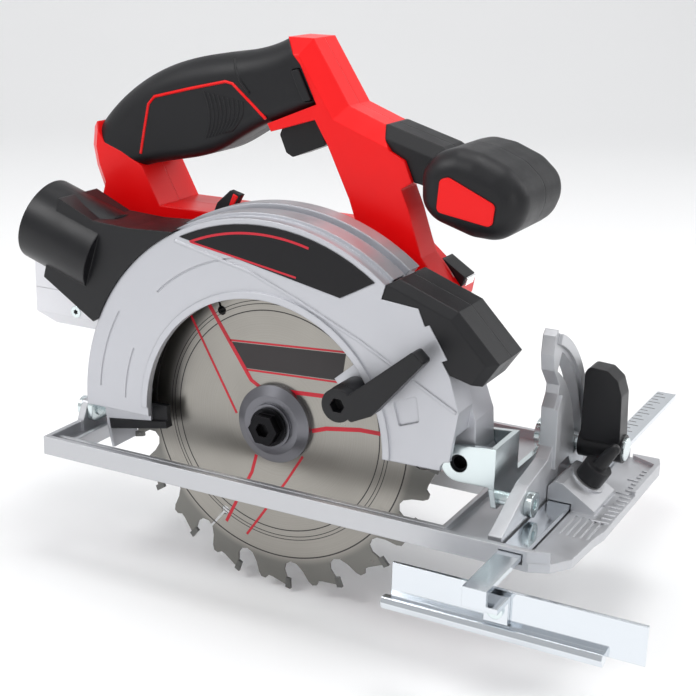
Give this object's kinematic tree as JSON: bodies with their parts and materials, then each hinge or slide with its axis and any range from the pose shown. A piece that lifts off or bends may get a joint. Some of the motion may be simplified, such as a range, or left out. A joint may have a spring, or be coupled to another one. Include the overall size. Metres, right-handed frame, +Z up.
{
  "type": "circular saw",
  "caption": "Cordless circular saw with a tilting and plunging base, swinging blade guard, dust port, rip fence and slide-on battery pack.",
  "frame": {"origin": "on the underside of the sole plate, straight below the blade's axis, in the plane of the blade's near face", "axes": "+X forwards in the cutting direction, +Y away from the blade towards the motor side, +Z up"},
  "size_m": [0.353, 0.268, 0.252],
  "materials": {
    "red_plastic": "satin",
    "soft_grip": "matte",
    "black_plastic": "fine texture",
    "guard_metal": "satin paint",
    "cast_aluminium": "as cast, blasted",
    "blade_steel": "brushed",
    "carbide": "ground",
    "flange_steel": "turned",
    "black_oxide": "black oxide",
    "bearing_steel": "ground",
    "iron_stack": "laminated",
    "copper": "bright",
    "zinc_steel": "zinc plated",
    "bright_plate": "bright plated",
    "battery_plastic": "light grey",
    "badge_film": "printed film"
  },
  "bodies": {
    "base": {"sole_plate": "cast_aluminium", "bevel_quadrant": "cast_aluminium", "quadrant_screw": "zinc_steel", "bevel_screws": "zinc_steel"},
    "tilt": {"tilt_bracket": "zinc_steel", "depth_arm": "zinc_steel", "bevel_bolt": "zinc_steel", "depth_pin": "black_oxide"},
    "bevel_lever": {"bevel_lever": "black_plastic", "bevel_lever_cap": "zinc_steel"},
    "saw": {"upper_guard": "guard_metal", "guard_badge": "badge_film", "front_cover_near": "black_plastic", "front_cover_far": "black_plastic", "dust_port": "black_plastic", "gear_housing": "cast_aluminium", "motor_housing": "black_plastic", "motor_cap": "black_plastic", "stator": "iron_stack", "handle_shell_near": "red_plastic", "handle_shell_far": "red_plastic", "grip_near": "soft_grip", "grip_far": "soft_grip", "front_handle_near": "soft_grip", "front_handle_far": "soft_grip", "front_handle_inlays": "red_plastic", "spindle_bearings": "bearing_steel", "rotor_bearings": "bearing_steel", "work_lamp": "black_plastic", "switch_body": "black_plastic", "depth_clamp_bolt": "zinc_steel", "guard_spring": "bearing_steel", "battery_shoe": "black_plastic"},
    "arbor": {"saw_blade": "blade_steel", "carbide_tips": "carbide", "inner_flange": "flange_steel", "outer_flange": "flange_steel", "blade_bolt": "black_oxide", "spindle": "bearing_steel", "driven_gear": "bearing_steel"},
    "rotor": {"rotor_shaft": "bearing_steel", "pinion": "bearing_steel", "rotor_core": "iron_stack", "cooling_fan": "black_plastic", "commutator": "copper"},
    "lower_guard": {"lower_guard": "guard_metal", "guard_lever": "black_plastic", "guard_bumper": "soft_grip"},
    "trigger": {"trigger": "black_plastic"},
    "lock_off": {"lock_off_button": "black_plastic"},
    "spindle_lock": {"spindle_lock_button": "black_plastic"},
    "depth_lever": {"depth_lever": "black_plastic"},
    "battery": {"battery_case_lower": "battery_plastic", "battery_case_upper": "battery_plastic"},
    "battery_button": {"battery_button": "black_plastic"},
    "rip_fence": {"fence_rail": "bright_plate", "fence_plate": "bright_plate", "fence_rivet": "zinc_steel"},
    "fence_knob": {"fence_knob": "black_plastic"}
  },
  "joints": [
    {"name": "bevel_tilt", "type": "hinge", "parent": "base", "child": "tilt", "pos_m": [0.115, 0.005, 0.014], "axis": [1, 0, 0], "range_deg": [0, 50]},
    {"name": "bevel_clamp", "type": "hinge", "parent": "tilt", "child": "bevel_lever", "pos_m": [0.13, 0.06689, 0.0227], "axis": [-1, 0, 0], "range_deg": [0, 60]},
    {"name": "depth_pivot", "type": "hinge", "parent": "tilt", "child": "saw", "pos_m": [0.092, 0.01, 0.029], "axis": [0, 1, 0], "range_deg": [0, 32]},
    {"name": "blade_spin", "type": "hinge", "parent": "saw", "child": "arbor", "pos_m": [0, 0, 0.0285], "axis": [0, -1, 0], "continuous": true},
    {"name": "rotor_spin", "type": "hinge", "parent": "saw", "child": "rotor", "pos_m": [-0.00391, 0.07, 0.05066], "axis": [0, -1, 0], "continuous": true},
    {"name": "guard_swing", "type": "hinge", "parent": "saw", "child": "lower_guard", "pos_m": [0, 0, 0.0285], "axis": [0, -1, 0], "range_deg": [0, 135]},
    {"name": "trigger_pull", "type": "slide", "parent": "saw", "child": "trigger", "axis": [-0.336, 0, 0.9419], "range_m": [0, 0.005], "stiffness_N_per_m": 800},
    {"name": "lock_off_press", "type": "slide", "parent": "saw", "child": "lock_off", "axis": [0, 1, 0], "range_m": [0, 0.0023], "stiffness_N_per_m": 600},
    {"name": "spindle_lock_press", "type": "slide", "parent": "saw", "child": "spindle_lock", "axis": [-1, 0, 0], "range_m": [0, 0.0035], "stiffness_N_per_m": 600},
    {"name": "depth_clamp", "type": "hinge", "parent": "saw", "child": "depth_lever", "pos_m": [-0.04267, 0.022, 0.03842], "axis": [0, -1, 0], "range_deg": [0, 30]},
    {"name": "battery_slide", "type": "slide", "parent": "saw", "child": "battery", "axis": [-1, 0, 0], "range_m": [0, 0.09]},
    {"name": "battery_latch", "type": "slide", "parent": "battery", "child": "battery_button", "axis": [1, 0, 0], "range_m": [0, 0.003], "stiffness_N_per_m": 600},
    {"name": "fence_slide", "type": "slide", "parent": "base", "child": "rip_fence", "axis": [0, -1, 0], "range_m": [-0.018, 0.13]},
    {"name": "fence_screw", "type": "hinge", "parent": "base", "child": "fence_knob", "pos_m": [0.1335, 0.0475, 0.0126], "axis": [0.5, 0, 0.866], "range_deg": [-90, 90]}
  ],
  "couplings": [
    {"joint": "rotor_spin", "follows": "blade_spin", "ratio": -4}
  ]
}
